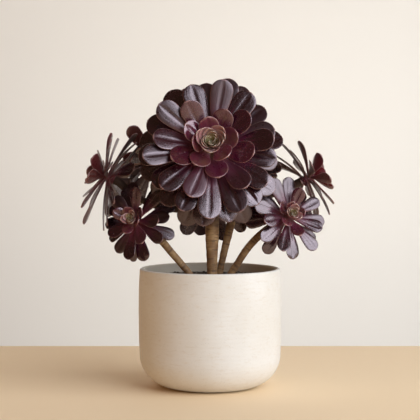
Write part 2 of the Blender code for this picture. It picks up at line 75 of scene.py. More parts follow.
stems = {
    "stem_main": dict(
        trunk=[((0.000, -0.004, 0.055), 0.0042), ((0.0015, -0.006, 0.085), 0.0045),
               ((0.002, -0.0075, 0.107), 0.0050), ((0.002, -0.008, 0.130), 0.0057),
               ((0.002, -0.006, 0.152), 0.0069), ((0.002, -0.003, 0.175), 0.0071),
               ((0.002, -0.0035, 0.196), 0.0072), ((0.002, -0.0125, 0.213), 0.0073)],
        head="main", branches=[]),
    "stem_left": dict(
        trunk=[((-0.013, -0.004, 0.062), 0.0030), ((-0.0140, -0.005, 0.085), 0.0030),
               ((-0.0180, -0.007, 0.107), 0.0033), ((-0.0265, -0.009, 0.119), 0.0035),
               ((-0.0375, -0.0105, 0.132), 0.0036), ((-0.0480, -0.0105, 0.1445), 0.0038),
               ((-0.0590, -0.0105, 0.1540), 0.0039)],
        head="front_left", branches=[]),
    "stem_right": dict(
        trunk=[((0.0145, -0.004, 0.062), 0.0031), ((0.0155, -0.005, 0.085), 0.0031),
               ((0.0190, -0.006, 0.107), 0.0035), ((0.0265, -0.008, 0.1205), 0.0036),
               ((0.0365, -0.010, 0.136), 0.0038), ((0.0485, -0.0105, 0.149), 0.0039),
               ((0.0620, -0.0112, 0.1590), 0.0041)],
        head="front_right", branches=[]),
    "stem_back": dict(
        trunk=[((0.006, 0.012, 0.060), 0.0030), ((0.0068, 0.011, 0.085), 0.0031),
               ((0.0092, 0.010, 0.107), 0.0033), ((0.0132, 0.010, 0.128), 0.0036),
               ((0.0185, 0.012, 0.150), 0.0041), ((0.0222, 0.016, 0.166), 0.0046)],
        head=None,
        branches=[
            dict(points=[((0.0222, 0.016, 0.166), 0.0044), ((0.014, 0.021, 0.177), 0.0042)],
                 head="back"),
            dict(points=[((0.0222, 0.016, 0.166), 0.0044), ((0.036, 0.015, 0.176), 0.0038),
                         ((0.057, 0.013, 0.186), 0.0036), ((0.073, 0.015, 0.193), 0.0037)],
                 head="side_right"),
            dict(points=[((0.036, 0.015, 0.176), 0.0034), ((0.0375, 0.022, 0.187), 0.0034)],
                 head="back_right"),
            dict(points=[((0.0222, 0.016, 0.166), 0.0044), ((0.002, 0.015, 0.1725), 0.0040),
                         ((-0.025, 0.016, 0.1725), 0.0038), ((-0.052, 0.0185, 0.176), 0.0036),
                         ((-0.074, 0.0165, 0.186), 0.0036)],
                 head="side_left"),
            dict(points=[((-0.025, 0.016, 0.1725), 0.0036), ((-0.036, 0.0175, 0.187), 0.0035),
                         ((-0.045, 0.0215, 0.203), 0.0035)],
                 head="back_left"),
        ]),
}


# Growth: how a leaf's size and lean change from the youngest (0) to the oldest (1)

growth = dict(
    leafLength=((0, 0.36), (0.12, 0.50), (0.22, 0.74), (0.34, 0.94), (0.7, 1.0), (1, 1.05)),
    leafLean=((0, 44), (0.12, 54), (0.22, 64), (0.34, 74), (0.6, 88), (0.8, 98), (1, 113)),
    leafCurl=((0, -38), (0.15, -20), (0.3, 0), (0.5, 12), (0.7, 18), (1, 26)),
    leafWidth=((0, 0.88), (0.2, 1.0), (0.6, 1.02), (1, 0.96)),
    heartLength=((0, 0.08), (0.5, 0.17), (1, 0.29)),
    heartLean=((0, 8), (0.5, 28), (1, 42)),
    heartCurl=((0, -10), (0.5, -34), (1, -42)),
    leafFoot=0.27, heartFoot=0.42, rootSink=0.003, channel=0.10, sideDraw=0.10,
    stations=(0.0, 0.42, 0.79, 0.95, 1.0), tipRoundness=0.5, narrowUntil=0.10,
    innerCup=0.35, cupUntil=0.20, heartCup=0.9,
)


def grown(name, age):
    stops = growth[name]
    return float(np.interp(age, [s for s, _ in stops], [v for _, v in stops]))


def crownOf(head):
    # crown point, axis, a level direction and the one square to both
    azimuth, elevation = math.radians(heads[head]["azimuth"]), math.radians(heads[head]["elevation"])
    axis = Vector((math.sin(azimuth) * math.cos(elevation),
                   -math.cos(azimuth) * math.cos(elevation), math.sin(elevation)))
    level = Vector((math.cos(azimuth), math.sin(azimuth), 0))
    return Vector(heads[head]["crown"]), axis, level, axis.cross(level)


def outerLeaves(head):
    plan = heads[head]
    draw = random.Random(plan["seed"])
    leaves = []
    for i in range(plan["leaves"]):
        age = i / (plan["leaves"] - 1)
        vary = [draw.uniform(-1, 1) for _ in range(6)]
        turn = math.radians(plan["turn"] + 6 * vary[2]) + (i + plan["heart"]) * goldenAngle
        downward = max(0.0, -math.sin(turn)) * math.cos(math.radians(plan["elevation"]))
        lean = grown("leafLean", age) + 5 * vary[0] + plan["droop"] * downward * (1 - age) + plan["sweep"] * age
        curl = math.radians(grown("leafCurl", age) + 8 * vary[1])
        length = plan["leaf"] * grown("leafLength", age) * (1 - growth["sideDraw"] * math.cos(turn) ** 2)
        width = plan["leaf"] * plan["width"] * grown("leafWidth", age)
        leaves.append(dict(
            head=head, age=age, turn=turn, lean=math.radians(lean) - curl / 2, curl=curl,
            length=length * (1 + 0.07 * vary[3]),
            width=width * (1 + 0.065 * vary[4]),
            thickness=0.0016 + 0.0012 * plan["leaf"] / heads["main"]["leaf"],
            root=plan["core"] * (0.72 + 0.28 * age) - growth["rootSink"],
            height=-0.0028 - (plan["depth"] - 0.006) * age,
            twist=math.radians(12 * vary[5]), foot=growth["leafFoot"],
            cup=growth["innerCup"] * max(0.0, 1 - age / growth["cupUntil"])))
    return leaves


def heartLeaves(head):
    plan = heads[head]
    draw = random.Random(plan["seed"] + 100)
    leaves = []
    for i in range(plan["heart"]):
        age = i / (plan["heart"] - 1)
        length = plan["leaf"] * grown("heartLength", age)
        lean = math.radians(grown("heartLean", age) + draw.uniform(-2, 2))
        curl = math.radians(grown("heartCurl", age))
        leaves.append(dict(
            head=head, age=age, turn=math.radians(plan["turn"]) + i * goldenAngle,
            length=length, width=length * 0.92, lean=lean - curl / 2, curl=curl,
            thickness=0.0010 + 0.0008 * age, root=plan["core"] * (0.10 + 0.22 * age),
            height=plan["core"] * (0.62 - 0.40 * age), twist=0.0, foot=growth["heartFoot"],
            cup=growth["heartCup"]))
    return leaves


def betweenLeaves(hearts):
    # one more young leaf between each leaf of a heart and the next, turned half way
    made = []
    for younger, older in zip(hearts[1:], hearts[2:]):
        share = {key: (younger[key] + older[key]) / 2 for key in younger if key != "head"}
        made.append(dict(share, head=younger["head"], turn=younger["turn"] + goldenAngle / 2 + math.pi))
    return made


def widthAt(leaf, along):
    # narrow foot, spoon, round tip
    start = growth["narrowUntil"]
    widest = 1 - min(growth["tipRoundness"] * leaf["width"] / leaf["length"], 0.4)
    rise = np.clip((along - start) / (widest - start), 0, 1)
    spoon = leaf["foot"] + (1 - leaf["foot"]) * (rise * rise * (3 - 2 * rise)) ** 1.1
    past = np.clip((along - widest) / (1 - widest), 0, 1)
    return spoon * np.sqrt(np.clip(1 - past ** 2.2, 0, 1))


def leafFrame(leaf, along):
    # the middle line of a leaf, with its sideways and upward directions at each place along it
    crown, axis, level, square = crownOf(leaf["head"])
    outward = level * math.cos(leaf["turn"]) + square * math.sin(leaf["turn"])
    sideways = axis.cross(outward)
    axis, outward, sideways = (np.array(v) for v in (axis, outward, sideways))
    curl = leaf["curl"] if abs(leaf["curl"]) > 1e-4 else 1e-4
    angle = leaf["lean"] + curl * along
    reach = leaf["root"] + leaf["length"] * (math.cos(leaf["lean"]) - np.cos(angle)) / curl
    rise = leaf["height"] + leaf["length"] * (np.sin(angle) - math.sin(leaf["lean"])) / curl
    spine = np.array(crown) + np.outer(rise, axis) + np.outer(reach, outward)
    face = np.outer(np.sin(angle), axis) - np.outer(np.cos(angle), outward)
    roll = (leaf["twist"] * along)[:, None]
    side = np.cos(roll) * sideways + np.sin(roll) * face
    return spine, side, np.cos(roll) * face - np.sin(roll) * sideways


def tubeTree(rings, sides):
    triangles = []
    for i in range(len(rings) - sides):
        j = i + 1 if (i + 1) % sides else i + 1 - sides
        triangles += [(i, j, i + sides), (j, j + sides, i + sides)]
    return BVHTree.FromPolygons([tuple(place) for place in rings], triangles, all_triangles=True)


def leafTree(leaf, start=0.0, swell=0.0):
    along = np.repeat([start + (1 - start) * share for share in growth["stations"]], 4)
    around = np.arange(len(along)) % 4
    across, up = np.array((1, 0, -1, 0))[around], np.array((0, 1, 0, -1))[around]
    spine, side, face = leafFrame(leaf, along)
    half = leaf["width"] * widthAt(leaf, along) / 2
    thick = leaf["thickness"] / 2 * (1 - 0.35 * along) + swell
    lift = np.abs(across) * 2 * half * growth["channel"] + up * thick
    return tubeTree(spine + side * (across * (half + swell))[:, None] + face * lift[:, None], 4)


# Stem routes, with the same smooth curve through the same points


def smoothRoute(points, steps=2):
    rows = [np.array([*place, radius]) for place, radius in points]
    rows = [2 * rows[0] - rows[1]] + rows + [2 * rows[-1] - rows[-2]]
    route = []
    for i in range(1, len(rows) - 2):
        before, here, there, after = rows[i - 1:i + 3]
        for step in range(steps):
            t = step / steps
            route.append(0.5 * (2 * here + (there - before) * t
                                + (2 * before - 5 * here + 4 * there - after) * t ** 2
                                + (3 * here - before - 3 * there + after) * t ** 3))
    return route + [rows[-2]]


def routeTo(points, head, steps=2):
    # the last stretch runs straight along the head's axis
    crown, axis, _, _ = crownOf(head)
    seat = crown - axis * (heads[head]["depth"] + touchGap)
    radius = heads[head]["core"] * 0.9
    before = (tuple(seat - axis * radius), radius * 0.95)
    return smoothRoute(points + [before], steps) + [np.array([*seat, radius])]


def stemRoutes(name, steps=2):
    stem = stems[name]
    if stem["head"]:
        return [routeTo(stem["trunk"], stem["head"], steps)]
    branches = [routeTo(branch["points"], branch["head"], steps) for branch in stem["branches"]]
    return [smoothRoute(stem["trunk"], steps)] + branches


def routeTree(route, sides=8):
    rings = []
    for i, row in enumerate(route):
        ahead = Vector(route[min(i + 1, len(route) - 1)][:3]) - Vector(route[max(i - 1, 0)][:3])
        first = ahead.cross(Vector((0, 1, 0))).normalized()
        second = ahead.cross(first).normalized()
        for side in range(sides):
            angle = 2 * math.pi * side / sides
            rings.append(Vector(row[:3]) + (first * math.cos(angle) + second * math.sin(angle)) * row[3])
    return tubeTree(rings, sides)


def tipTree(head):
    # the leafy tip that bears a head's leaves
    crown, axis, _, _ = crownOf(head)
    radius = heads[head]["core"]
    foot, top = crown - axis * heads[head]["depth"], crown + axis * radius
    ends = ((foot, radius), (top, radius * 0.72))
    return routeTree([np.array([*place, wide]) for place, wide in ends])


# Bending: each leaf takes the least bend, swing or shortening that keeps it clear of its neighbours

bending = dict(clearance=0.0011, freeFrom=0.42, swings=(0, 7, -7, 14, -14), shortenings=(1.0, 0.85, 0.7),
               bends=(0, 8, -8, 16, -16, 25, -25, 35, -35, 46, -46, 58, -58))


def bentClear(leaf, others, own):
    for shorten in bending["shortenings"]:
        for swing in bending["swings"]:
            for bend in bending["bends"]:
                tried = dict(leaf, length=leaf["length"] * shorten,
                             turn=leaf["turn"] + math.radians(swing),
                             lean=leaf["lean"] + math.radians(bend) * 0.35,
                             curl=leaf["curl"] + math.radians(bend) * 0.65)
                whole = leafTree(tried, swell=bending["clearance"])
                if any(whole.overlap(other) for other in others):
                    continue
                free = leafTree(tried, bending["freeFrom"])
                if not any(free.overlap(other) for other in own):
                    return tried
    return None


def settleLeaves():
    settled = {}
    done = [routeTree(route) for name in stems for route in stemRoutes(name)]
    tips = {head: tipTree(head) for head in heads}
    for head in heads:
        tips.pop(head)
        hearts = heartLeaves(head)
        heartTrees = [leafTree(leaf) for leaf in hearts]
        kept, own = [], []
        for leaf in outerLeaves(head):
            clear = bentClear(leaf, done + heartTrees + list(tips.values()), own)
            if clear:
                kept.append(clear)
                own.append(leafTree(clear, bending["freeFrom"]))
        done += [leafTree(leaf) for leaf in kept] + heartTrees
        settled[head] = (kept, hearts)
    return settled


# Shading helpers


def newMaterial(name):
    material = bpy.data.materials.new(name)
    material.use_nodes = True
    nodes = material.node_tree.nodes
    shader = nodes["Principled BSDF"]
    return material, nodes, material.node_tree.links, shader


def addNode(nodes, kind, **settings):
    node = nodes.new(kind)
    for name, value in settings.items():
        setattr(node, name, value)
    return node


def colourRamp(nodes, links, source, stops, interpolation="LINEAR"):
    ramp = nodes.new("ShaderNodeValToRGB")
    ramp.color_ramp.interpolation = interpolation
    elements = ramp.color_ramp.elements
    while len(elements) < len(stops):
        elements.new(0.5)
    for element, (place, colour) in zip(elements, stops):
        element.position = place
        element.color = (*colour, 1) if len(colour) == 3 else colour
    links.new(source, ramp.inputs[0])
    return ramp.outputs[0]


def mixColour(nodes, links, factor, first, second):
    mix = addNode(nodes, "ShaderNodeMix", data_type="RGBA")
    for socket, value in ((mix.inputs["Factor"], factor), (mix.inputs[6], first), (mix.inputs[7], second)):
        if isinstance(value, (int, float, tuple)):
            socket.default_value = (*value, 1) if isinstance(value, tuple) else value
        else:
            links.new(value, socket)
    return mix.outputs[2]


def maths(nodes, links, operation, *values, clamp=False):
    node = addNode(nodes, "ShaderNodeMath", operation=operation, use_clamp=clamp)
    for socket, value in zip(node.inputs, values):
        if isinstance(value, (int, float)):
            socket.default_value = value
        else:
            links.new(value, socket)
    return node.outputs[0]


def mapRange(nodes, links, value, low, high, outLow=0.0, outHigh=1.0):
    node = addNode(nodes, "ShaderNodeMapRange", interpolation_type="SMOOTHSTEP")
    for socket, number in zip(node.inputs[1:5], (low, high, outLow, outHigh)):
        socket.default_value = number
    links.new(value, node.inputs[0])
    return node.outputs[0]


def noise(nodes, links, vector, scale, detail=3, roughness=0.55):
    node = addNode(nodes, "ShaderNodeTexNoise")
    node.inputs["Scale"].default_value = scale
    node.inputs["Detail"].default_value = detail
    node.inputs["Roughness"].default_value = roughness
    links.new(vector, node.inputs["Vector"])
    return node.outputs["Fac"]


def bump(nodes, links, height, strength, distance, normal=None):
    node = addNode(nodes, "ShaderNodeBump")
    node.inputs["Strength"].default_value = strength
    node.inputs["Distance"].default_value = distance
    links.new(height, node.inputs["Height"])
    if normal:
        links.new(normal, node.inputs["Normal"])
    return node.outputs["Normal"]


# Leaf material: colours run along each leaf, from a red foot to a near black blade, and its age decides
# how green and how pink it is

leafFinish = dict(
    blackPurple=(0.0115, 0.0013, 0.0026), winePurple=(0.078, 0.007, 0.026), footRed=(0.180, 0.018, 0.034),
    footGreen=(0.150, 0.110, 0.036), cupRed=(0.150, 0.032, 0.050), youngPink=(0.330, 0.160, 0.160),
    youngGreen=(0.230, 0.215, 0.085),
    # the paler underside is painted light, for the heads seen side on
    underside=(0.030, 0.013, 0.016), paintedLitUnderside=(0.120, 0.080, 0.064),
    # the dark red here is painted backlight, for the heads seen side on
    paintedBacklight=(0.135, 0.013, 0.016), margin=(0.330, 0.180, 0.175), youngMargin=(0.560, 0.420, 0.340),
    spot=(0.30, 0.22, 0.24),
    roughness=0.25, coat=0.14, coatRoughness=0.20,
    # the share of painted backlight on each head seen side on
    paintedBacklightByHead=dict(side_left=0.8, side_right=1.0, back_left=0.7))


def leafMaterial(name, heart):
    f = leafFinish
    material, nodes, links, shader = newMaterial(name)
    uv = addNode(nodes, "ShaderNodeUVMap", uv_map="leafMap").outputs[0]
    place = addNode(nodes, "ShaderNodeSeparateXYZ")
    links.new(uv, place.inputs[0])
    across = maths(nodes, links, "ABSOLUTE",
                   maths(nodes, links, "MULTIPLY_ADD", place.outputs[0], 2.0, -1.0))
    along = place.outputs[1]
    tone = addNode(nodes, "ShaderNodeAttribute", attribute_name="leafTone")
    tones = addNode(nodes, "ShaderNodeSeparateColor")
    links.new(tone.outputs["Color"], tones.inputs[0])
    age, chance, upper = tones.outputs[0], tones.outputs[1], tones.outputs[2]
    # the alpha carries the head's share of painted backlight
    paintedBacklight = tone.outputs["Alpha"]
    objectPlace = addNode(nodes, "ShaderNodeTexCoord").outputs["Object"]
    cloud = noise(nodes, links, objectPlace, 85, 4)
    grain = noise(nodes, links, objectPlace, 900, 3)
    mottle = noise(nodes, links, objectPlace, 430, 2)

    # veins run along the blade, so the noise is stretched along it
    stretch = addNode(nodes, "ShaderNodeMapping")
    stretch.inputs["Scale"].default_value = (7.5, 0.9, 1.0)
    links.new(uv, stretch.inputs["Vector"])
    shift = addNode(nodes, "ShaderNodeCombineXYZ")
    links.new(maths(nodes, links, "MULTIPLY", chance, 40.0), shift.inputs[2])
    joined = addNode(nodes, "ShaderNodeVectorMath", operation="ADD")
    links.new(stretch.outputs[0], joined.inputs[0])
    links.new(shift.outputs[0], joined.inputs[1])
    streak = noise(nodes, links, joined.outputs[0], 2.2, 3)

    reach = maths(nodes, links, "ADD", along,
                  maths(nodes, links, "MULTIPLY_ADD", streak, 0.5, -0.25))
    if heart:
        foot = mixColour(nodes, links, age, f["youngGreen"], f["footGreen"])
        blade = mixColour(nodes, links, mapRange(nodes, links, age, 0.35, 0.8), f["youngGreen"], f["youngPink"])
        colour = mixColour(nodes, links, mapRange(nodes, links, reach, 0.25, 0.85), foot, blade)
    else:
        foot = mixColour(nodes, links, mapRange(nodes, links, age, 0.0, 0.35), f["footGreen"], f["footRed"])
        wine = mixColour(nodes, links, mapRange(nodes, links, age, 0.0, 0.30), f["cupRed"], f["winePurple"])
        dark = mixColour(nodes, links, mapRange(nodes, links, age, 0.0, 0.14), f["cupRed"], f["winePurple"])
        dark = mixColour(nodes, links, mapRange(nodes, links, age, 0.06, 0.34), dark, f["blackPurple"])
        colour = mixColour(nodes, links, mapRange(nodes, links, reach, 0.08, 0.46), foot, wine)
        colour = mixColour(nodes, links, mapRange(nodes, links, reach, 0.38, 0.78), colour, dark)
    colour = mixColour(nodes, links, maths(nodes, links, "MULTIPLY", cloud, 0.28 if heart else 0.10), colour,
                       f["youngPink"] if heart else f["winePurple"])
    # the inner leaves are olive in places
    olive = mapRange(nodes, links, cloud, 0.46, 0.64, 0, 0.45 if heart else 0.25)
    if heart:
        olive = maths(nodes, links, "MULTIPLY", olive, mapRange(nodes, links, chance, 0.3, 0.7, 0.2, 1.0))
    else:
        olive = maths(nodes, links, "MULTIPLY", olive, mapRange(nodes, links, age, 0.24, 0.06))
    colour = mixColour(nodes, links, olive, colour, f["footGreen"])

    # the underside is browner, and on the heads seen side on it is painted paler, as if lit; the margin is a thin
    # pale line
    below = mapRange(nodes, links, upper, 0.42, 0.30)
    brown = mixColour(nodes, links, paintedBacklight, f["underside"], f["paintedLitUnderside"])
    colour = mixColour(nodes, links, maths(nodes, links, "MULTIPLY", below, 0.35 if heart else 0.75),
                       colour, brown)
    # heads seen side on get painted backlight: their inner leaves are painted dark red, as if light shone through
    # them
    if not heart:
        paintedBacklightShare = maths(nodes, links, "MULTIPLY", paintedBacklight, mapRange(nodes, links, age, 0.62, 0.20))
        colour = mixColour(nodes, links, paintedBacklightShare, colour, f["paintedBacklight"])
    rim = maths(nodes, links, "MAXIMUM", mapRange(nodes, links, across, 0.935, 0.985),
                mapRange(nodes, links, along, 0.978, 0.998))
    fading = (0.0, 1.0, 0.45, 0.65) if heart else (0.8, 0.05, 0.42, 0.85)
    rim = maths(nodes, links, "MULTIPLY", rim, mapRange(nodes, links, age, *fading))
    colour = mixColour(nodes, links, rim, colour, f["youngMargin" if heart else "margin"])

    # a few pale flecks of dried drops
    flecks = addNode(nodes, "ShaderNodeTexVoronoi", feature="F1")
    flecks.inputs["Scale"].default_value = 260
    links.new(objectPlace, flecks.inputs["Vector"])
    pick = addNode(nodes, "ShaderNodeSeparateColor")
    links.new(flecks.outputs["Color"], pick.inputs[0])
    fleck = maths(nodes, links, "MULTIPLY", mapRange(nodes, links, flecks.outputs["Distance"], 0.15, 0.08),
                  maths(nodes, links, "GREATER_THAN", pick.outputs[0], 0.82))
    colour = mixColour(nodes, links, maths(nodes, links, "MULTIPLY", fleck, 0.75), colour, f["spot"])
    links.new(colour, shader.inputs["Base Color"])

    rough = maths(nodes, links, "MULTIPLY_ADD", grain, 0.16, f["roughness"] - 0.08)
    rough = maths(nodes, links, "ADD", rough, maths(nodes, links, "MULTIPLY_ADD", streak, 0.14, -0.07))
    rough = maths(nodes, links, "ADD", rough, maths(nodes, links, "MULTIPLY_ADD", mottle, 0.20, -0.10))
    # no two leaves shine alike, and the foot of a blade is duller than its end
    rough = maths(nodes, links, "ADD", rough, maths(nodes, links, "MULTIPLY_ADD", chance, 0.20, -0.10))
    rough = maths(nodes, links, "ADD", rough, mapRange(nodes, links, reach, 0.20, 0.70, 0.24, 0.0))
    links.new(rough, shader.inputs["Roughness"])
    shader.inputs["IOR"].default_value = 1.6
    shader.inputs["Specular IOR Level"].default_value = 1.0
    shader.inputs["Specular Tint"].default_value = (1.0, 0.82, 0.88, 1)
    shader.inputs["Coat Weight"].default_value = f["coat"]
    shader.inputs["Coat Roughness"].default_value = f["coatRoughness"]
    shader.inputs["Coat IOR"].default_value = 1.5
    shader.inputs["Subsurface Weight"].default_value = 0.25 if heart else 0.12
    shader.inputs["Subsurface Radius"].default_value = (0.004, 0.0012, 0.0008)
    shader.inputs["Subsurface Scale"].default_value = 0.5
    relief = bump(nodes, links, streak, 0.16, 0.0009)
    relief = bump(nodes, links, mottle, 0.11, 0.0006, relief)
    relief = bump(nodes, links, grain, 0.05, 0.0002, relief)
    links.new(relief, shader.inputs["Normal"])
    return material


# Blank leaf: a flat spoon, one long and one wide each side of its middle, modelled once

blank = dict(rows=(0.0, 0.12, 0.26, 0.40, 0.55, 0.70, 0.835, 0.893, 0.937, 0.970, 0.990, 1.0),
             widest=0.835, thickness=1.0, marginThickness=0.24, groove=0.24, grooveWidth=0.065,
             lobe=0.08, point=0.030, bluntTip=0.15, channel=0.03, deepestCup=0.85)


def selectWhere(obj, test):
    # picks vertices by their place, from object mode, and goes into edit mode
    bpy.ops.object.mode_set(mode="OBJECT")
    for vertex in obj.data.vertices:
        vertex.select = bool(test(vertex.co))
    for edge in obj.data.edges:
        edge.select = all(obj.data.vertices[i].select for i in edge.vertices)
    for face in obj.data.polygons:
        face.select = all(obj.data.vertices[i].select for i in face.vertices)
    bpy.ops.object.mode_set(mode="EDIT")


def modelBlankLeaf(name, columns, foot):
    bpy.ops.object.select_all(action="DESELECT")
    rows = blank["rows"]
    bpy.ops.mesh.primitive_grid_add(x_subdivisions=columns, y_subdivisions=len(rows) - 1, size=2,
                                    calc_uvs=True, location=(0, 0, 0))
    leaf = bpy.context.object
    leaf.name = name
    bpy.ops.object.mode_set(mode="EDIT")
    bpy.context.tool_settings.mesh_select_mode = (True, False, False)
    shape = dict(foot=foot, length=1, width=(1 - blank["widest"]) / growth["tipRoundness"])
    step = 2 / (len(rows) - 1)
    for i, along in enumerate(rows):
        wide = max(float(widthAt(shape, np.array(along))), blank["bluntTip"])
        selectWhere(leaf, lambda co, y=-1 + i * step: abs(co.y - y) < step * 0.02)
        bpy.ops.transform.resize(value=(wide, 1, 1), center_override=(0, 0, 0))
        bpy.ops.transform.translate(value=(0, along + 10 + 1 - i * step, 0))
    selectWhere(leaf, lambda co: True)
    bpy.ops.transform.translate(value=(0, -10, 0))
    # the middle of the tip is drawn out to a small point
    selectWhere(leaf, lambda co: co.y > 0.999 and abs(co.x) < 0.01)
    bpy.ops.transform.translate(value=(0, blank["point"], 0))
    bpy.ops.object.mode_set(mode="OBJECT")
    leaf.data.uv_layers[0].name = "leafMap"
    for loop in leaf.data.loops:
        place = leaf.data.uv_layers[0].data[loop.index]
        row = round(place.uv.y * (len(rows) - 1))
        place.uv.y = rows[row]
    solid = leaf.modifiers.new("thickness", "SOLIDIFY")
    solid.thickness = blank["thickness"]
    solid.offset = 0
    bpy.ops.object.modifier_apply(modifier="thickness")
    soft = leaf.modifiers.new("round", "SUBSURF")
    soft.levels = soft.render_levels = 1
    bpy.ops.object.modifier_apply(modifier="round")
    bpy.ops.object.shade_smooth()
    return leaf


def bendLeaf(template, leaf, chance, paintedBacklight, name):
    # copies the blank leaf and lays it along the arc of one leaf of the plan
    made = template.copy()
    made.data = template.data.copy()
    made.name = name
    bpy.context.collection.objects.link(made)
    count = len(made.data.vertices)
    flat = np.empty(count * 3)
    made.data.vertices.foreach_get("co", flat)
    flat = flat.reshape(-1, 3)
    # a short wide leaf is round over more of its length, so the blank's widest row moves to the leaf's own
    widest = 1 - min(growth["tipRoundness"] * leaf["width"] / leaf["length"], 0.4)
    along = np.interp(flat[:, 1], (0, blank["widest"], 1), (0, widest, 1))
    along = along + np.clip(flat[:, 1] - 1, 0, 1) * leaf["width"] / leaf["length"]
    spine, side, face = leafFrame(leaf, along)
    half = leaf["width"] / 2
    out = flat[:, 0] * half
    edge = np.maximum(widthAt(leaf, np.clip(along, 0, 0.985)), 0.1)
    share = np.clip(np.abs(flat[:, 0]) / edge, 0, 1)
    thin = 1 - (1 - blank["marginThickness"]) * share ** 1.5
    thick = leaf["thickness"] * (1 - 0.35 * along) * thin
    upward = flat[:, 2] > 0
    groove = -blank["groove"] * np.exp(-(share / blank["grooveWidth"]) ** 2) * leaf["thickness"]
    lobe = blank["lobe"] * np.sin(math.pi * np.clip(share, 0, 1)) ** 1.2 * leaf["thickness"]
    spoon = np.clip((along - 0.1) / 0.3, 0, 1) * np.clip((1.0 - along) / 0.12, 0.25, 1)
    lift = 2 * blank["channel"] * half * edge * share ** 2
    # young leaves wrap round the axis of their head
    crown, axis, _, _ = crownOf(leaf["head"])
    fromCrown = spine - np.array(crown)
    radius = np.linalg.norm(fromCrown - np.outer(fromCrown @ np.array(axis), np.array(axis)), axis=1)
    aside = np.minimum(np.abs(out), blank["deepestCup"] * radius)
    lift = lift + leaf["cup"] * (radius - np.sqrt(radius ** 2 - aside ** 2))
    lift = lift + flat[:, 2] * thick + (groove * upward + lobe) * spoon
    places = spine + side * out[:, None] + face * lift[:, None]
    made.data.vertices.foreach_set("co", places.ravel())
    # the tone's alpha is the head's share of painted backlight
    tone = made.data.attributes.new("leafTone", "FLOAT_COLOR", "POINT")
    shade = np.empty((count, 4))
    shade[:] = (leaf["age"], chance, 0, paintedBacklight)
    shade[:, 2] = np.clip(flat[:, 2] + 0.5, 0, 1)
    tone.data.foreach_set("color", shade.ravel())
    made.data.update()
    return made


def joinPieces(pieces, name, material):
    bpy.ops.object.select_all(action="DESELECT")
    for piece in pieces:
        piece.select_set(True)
    bpy.context.view_layer.objects.active = pieces[0]
    bpy.ops.object.join()
    joined = bpy.context.object
    joined.name = joined.data.name = name
    joined.data.materials.clear()
    joined.data.materials.append(material)
    return joined


def modelCore(head, name, low, high, wide, narrow):
    # the leafy tip of the stem inside a head
    crown, axis, _, _ = crownOf(head)
    bpy.ops.object.select_all(action="DESELECT")
    middle = crown + axis * ((low + high) / 2)
    bpy.ops.mesh.primitive_cone_add(vertices=20, radius1=wide, radius2=narrow, depth=high - low,
                                    location=middle, rotation=axis.to_track_quat("Z", "Y").to_euler())
    core = bpy.context.object
    core.name = name
    bpy.ops.object.mode_set(mode="EDIT")
    bpy.ops.mesh.select_all(action="SELECT")
    bpy.ops.mesh.bevel(offset=narrow * 0.3, segments=2)
    bpy.ops.object.mode_set(mode="OBJECT")
    bpy.ops.object.transform_apply(location=True, rotation=True, scale=True)
    bpy.ops.object.shade_smooth()
    core.data.uv_layers[0].name = "leafMap"
    for place in core.data.uv_layers[0].data:
        place.uv = (0.5, 0.05)
    tone = core.data.attributes.new("leafTone", "FLOAT_COLOR", "POINT")
    tone.data.foreach_set("color", [0.3, 0.5, 1.0, 0.0] * len(core.data.vertices))
    return core


def dressHeads():
    leafSkin, heartSkin = leafMaterial("darkLeaf", False), leafMaterial("heartLeaf", True)
    bigBlank = modelBlankLeaf("bigBlank", 6, growth["leafFoot"])
    smallBlank = modelBlankLeaf("smallBlank", 4, growth["leafFoot"])
    heartBlank = modelBlankLeaf("heartBlank", 4, growth["heartFoot"])
    for head, (leaves, hearts) in settleLeaves().items():
        plan = heads[head]
        draw = random.Random(plan["seed"] + 500)
        template = bigBlank if head == "main" else smallBlank
        pieces = [modelCore(head, "core", -plan["depth"], 0.0, plan["core"], plan["core"] * 0.72)]
        # the share of painted backlight, only for heads seen side on
        paintedBacklight = leafFinish["paintedBacklightByHead"].get(head, 0.0)
        pieces += [bendLeaf(template, leaf, draw.random(), paintedBacklight, "leaf") for leaf in leaves]
        rosette = joinPieces(pieces, "leaves_" + head, leafSkin)
        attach(rosette, "root")
        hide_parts("rosette_" + head)
        pieces = [modelCore(head, "core", touchGap, plan["core"], plan["core"] * 0.45, plan["core"] * 0.25)]
        pieces += [bendLeaf(heartBlank, leaf, draw.random(), paintedBacklight, "leaf")
                   for leaf in hearts + betweenLeaves(hearts)]
        heart = joinPieces(pieces, "young_" + head, heartSkin)
        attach(heart, "root")
        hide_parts("heart_" + head)
        print("head", head, "has", len(leaves), "leaves and", len(hearts), "in its heart")
    for template in (bigBlank, smallBlank, heartBlank):
        bpy.data.objects.remove(template, do_unlink=True)


# Stems: round tubes with a ring at each leaf scar

stemFinish = dict(sides=20, steps=9, scarEvery=0.0036, scarSwell=0.045, wobble=0.03,
                  bark=(0.265, 0.135, 0.052), barkPale=(0.500, 0.305, 0.135), scar=(0.075, 0.040, 0.022),
                  # the darkest bark, under the heads, is partly painted shade
                  young=(0.070, 0.036, 0.024), roughness=0.62)


